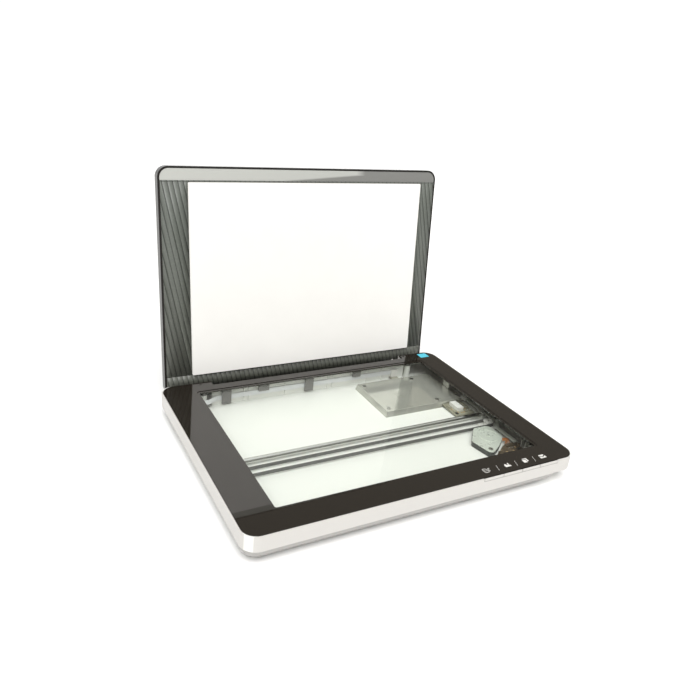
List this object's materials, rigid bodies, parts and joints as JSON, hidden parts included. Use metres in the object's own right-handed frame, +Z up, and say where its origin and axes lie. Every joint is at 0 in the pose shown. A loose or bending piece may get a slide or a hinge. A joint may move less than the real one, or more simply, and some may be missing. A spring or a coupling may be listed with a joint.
{
  "type": "flatbed document scanner",
  "caption": "A4 flatbed scanner with its hinged lid open, a gloss bezel round a glass window, a white tub and a sensor carriage on a shaft and belt.",
  "frame": {"origin": "centre of the plan outline with the lid open, on the table under the feet", "axes": "+X to the right along the long side as seen by the user at the keys, +Y to the rear towards the hinges, +Z up"},
  "size_m": [0.37, 0.3234, 0.268],
  "materials": {
    "white_case": "satin",
    "black_gloss": "polished",
    "lip_gloss": "polished",
    "liner_grey": "satin",
    "key_white": "satin",
    "feet_rubber": "matte",
    "sheet_white": "matte",
    "foam": "matte",
    "glass": "polished",
    "tape": "matte",
    "strip_white": "matte",
    "label_cyan": "satin",
    "steel": "polished",
    "plate_metal": "satin",
    "motor_dark": "satin",
    "shield_metal": "polished",
    "belt": "matte",
    "pom_white": "satin",
    "pinion_brass": "satin",
    "board_green": "satin",
    "board_brown": "satin",
    "switch_dark": "satin",
    "wire_mix": "satin",
    "cable_grey": "satin",
    "ribbon_white": "satin",
    "socket_steel": "satin",
    "frame_black": "satin",
    "optic": "polished"
  },
  "bodies": {
    "base": {"base_tub": "white_case", "rubber_feet": "feet_rubber", "base_screws": "steel", "top_bezel": "black_gloss", "corner_label": "label_cyan", "platen_glass": "glass", "glass_tape": "tape", "calibration_strip": "strip_white", "guide_shaft": "steel", "shaft_clips": "steel", "drive_belt": "belt", "gear_studs": "steel", "idler_bracket": "pom_white", "tension_spring": "steel", "motor_body": "motor_dark", "motor_plate": "plate_metal", "motor_screws": "steel", "motor_wires": "wire_mix", "motor_board": "board_brown", "button_cable": "cable_grey", "main_board": "board_green", "board_connectors": "pom_white", "usb_socket": "socket_steel", "board_shield": "shield_metal", "shield_screws": "steel", "scan_ribbon": "ribbon_white", "button_board": "board_green", "tact_switches": "switch_dark"},
    "carriage": {"carriage_frame": "frame_black", "belt_clamp": "pom_white", "clamp_screws": "steel", "cis_springs": "steel"},
    "sensor_bar": {"cis_housing": "frame_black", "cis_window": "glass", "lens_array": "optic", "light_guide": "optic", "cis_board": "board_green", "cis_glides": "pom_white"},
    "belt_pulley": {"drive_pulley": "pom_white"},
    "gear": {"compound_gear": "pom_white"},
    "motor_rotor": {"motor_pinion": "pinion_brass", "motor_shaft": "steel"},
    "idler": {"idler_pulley": "pom_white"},
    "hinge_carrier": {"hinge_posts": "frame_black", "hinge_pins": "steel"},
    "lid": {"lid_cover": "black_gloss", "lid_liner": "liner_grey", "lid_lip": "lip_gloss", "lid_arms": "frame_black", "lid_screws": "steel", "pad_foam": "foam", "pad_sheet": "sheet_white"},
    "key_a": {"key_document": "key_white"},
    "key_b": {"key_picture": "key_white"},
    "key_c": {"key_copy": "key_white"},
    "key_d": {"key_mail": "key_white"}
  },
  "joints": [
    {"name": "carriage_slide", "type": "slide", "parent": "base", "child": "carriage", "axis": [1, 0, 0], "range_m": [0, 0.311]},
    {"name": "sensor_float", "type": "slide", "parent": "carriage", "child": "sensor_bar", "axis": [0, 0, 1], "range_m": [-0.0006, 0], "stiffness_N_per_m": 400, "springref_m": 0.004, "deforming": ["cis_springs"]},
    {"name": "pulley_turn", "type": "hinge", "parent": "base", "child": "belt_pulley", "pos_m": [0.1635, -0.04522, 0.008], "axis": [0, 0, 1], "continuous": true},
    {"name": "idler_turn", "type": "hinge", "parent": "base", "child": "idler", "pos_m": [-0.1707, -0.04522, 0.008], "axis": [0, 0, 1], "continuous": true},
    {"name": "gear_turn", "type": "hinge", "parent": "base", "child": "gear", "pos_m": [0.15245, -0.05879, 0.0045], "axis": [0, 0, 1], "continuous": true},
    {"name": "motor_turn", "type": "hinge", "parent": "base", "child": "motor_rotor", "pos_m": [0.14139, -0.07235, 0.0045], "axis": [0, 0, 1], "continuous": true},
    {"name": "lid_lift", "type": "slide", "parent": "base", "child": "hinge_carrier", "axis": [0, 0, 1], "range_m": [0, 0.0075]},
    {"name": "lid_hinge", "type": "hinge", "parent": "hinge_carrier", "child": "lid", "pos_m": [0, 0.10868, 0.01694], "axis": [1, 0, 0], "range_deg": [0, 95.7]},
    {"name": "press_document", "type": "slide", "parent": "base", "child": "key_a", "axis": [0, 1, 0], "range_m": [0, 0.0006], "stiffness_N_per_m": 900, "springref_m": -0.0006},
    {"name": "press_picture", "type": "slide", "parent": "base", "child": "key_b", "axis": [0, 1, 0], "range_m": [0, 0.0006], "stiffness_N_per_m": 900, "springref_m": -0.0006},
    {"name": "press_copy", "type": "slide", "parent": "base", "child": "key_c", "axis": [0, 1, 0], "range_m": [0, 0.0006], "stiffness_N_per_m": 900, "springref_m": -0.0006},
    {"name": "press_mail", "type": "slide", "parent": "base", "child": "key_d", "axis": [0, 1, 0], "range_m": [0, 0.0006], "stiffness_N_per_m": 900, "springref_m": -0.0006}
  ],
  "couplings": [
    {"joint": "pulley_turn", "follows": "carriage_slide", "rad_per_m": -173.91},
    {"joint": "idler_turn", "follows": "carriage_slide", "rad_per_m": -173.91},
    {"joint": "gear_turn", "follows": "carriage_slide", "rad_per_m": 369.57},
    {"joint": "motor_turn", "follows": "carriage_slide", "rad_per_m": -1478.3}
  ]
}
